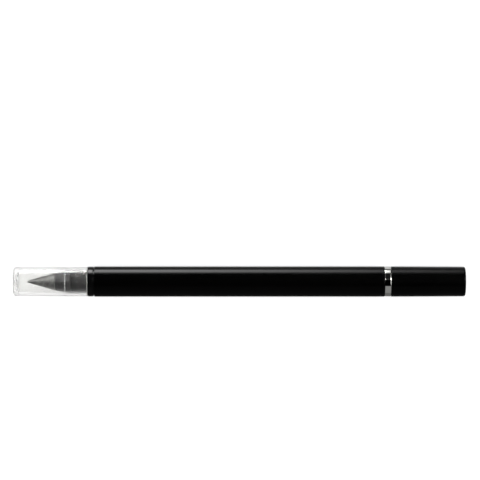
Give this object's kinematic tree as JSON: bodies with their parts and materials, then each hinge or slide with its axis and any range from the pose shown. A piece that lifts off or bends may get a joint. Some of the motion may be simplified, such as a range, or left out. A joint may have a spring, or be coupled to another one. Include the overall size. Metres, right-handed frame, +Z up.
{
  "type": "dual-tip pen",
  "caption": "Slim dual-tip pen: a graphite nib under a clear pull-off cap at one end, and a screw-in ballpoint under a black pull-off cap at the other.",
  "frame": {"origin": "middle of the capped pen's length, on the surface that it lies on", "axes": "+X along the pen from the clear cap to the ballpoint cap, +Z up from the surface"},
  "size_m": [0.1508, 0.01, 0.01],
  "materials": {
    "clear_plastic": "polished",
    "graphite": "satin",
    "stud_steel": "satin",
    "ferrule_plastic": "satin",
    "holder_plastic": "polished",
    "barrel_lacquer": "gloss",
    "bush_brass": "satin",
    "chrome": "polished",
    "refill_plastic": "gloss",
    "ink": "gloss",
    "plug_plastic": "satin",
    "nickel_silver": "polished",
    "ball_carbide": "polished",
    "liner_plastic": "satin"
  },
  "bodies": {
    "barrel": {"barrel_tube": "barrel_lacquer", "thread_bush": "bush_brass", "tip_holder": "holder_plastic"},
    "clear_cap": {"clear_cap": "clear_plastic"},
    "nib_ring": {"nib_ferrule": "ferrule_plastic"},
    "nib": {"graphite_nib": "graphite", "nib_stud": "stud_steel"},
    "refill": {"refill_tube": "refill_plastic", "refill_ink": "ink", "refill_tail_plug": "plug_plastic", "point_holder": "nickel_silver"},
    "ball": {"writing_ball": "ball_carbide"},
    "nose": {"nose_cone": "chrome", "centre_ring": "chrome"},
    "cap": {"cap_shell": "barrel_lacquer", "cap_liner": "liner_plastic"}
  },
  "joints": [
    {"name": "clear_cap_pull", "type": "slide", "parent": "barrel", "child": "clear_cap", "axis": [-1, 0, 0], "range_m": [0, 0.03]},
    {"name": "nib_advance", "type": "slide", "parent": "barrel", "child": "nib_ring", "axis": [-1, 0, 0], "range_m": [0, 0.003]},
    {"name": "nib_turn", "type": "hinge", "parent": "nib_ring", "child": "nib", "pos_m": [-0.06155, 0, 0.005], "axis": [-1, 0, 0], "range_deg": [0, 2160]},
    {"name": "refill_advance", "type": "slide", "parent": "barrel", "child": "refill", "axis": [1, 0, 0], "range_m": [0, 0.0045]},
    {"name": "ball_roll", "type": "hinge", "parent": "refill", "child": "ball", "pos_m": [0.06867, 0, 0.005], "axis": [0, 1, 0], "continuous": true},
    {"name": "nose_turn", "type": "hinge", "parent": "refill", "child": "nose", "pos_m": [0.0507, 0, 0.005], "axis": [1, 0, 0], "range_deg": [0, 2160]},
    {"name": "cap_pull", "type": "slide", "parent": "nose", "child": "cap", "axis": [1, 0, 0], "range_m": [0, 0.03]}
  ],
  "couplings": [
    {"joint": "nib_turn", "follows": "nib_advance", "rad_per_m": 12566},
    {"joint": "nose_turn", "follows": "refill_advance", "rad_per_m": 8377.5}
  ]
}
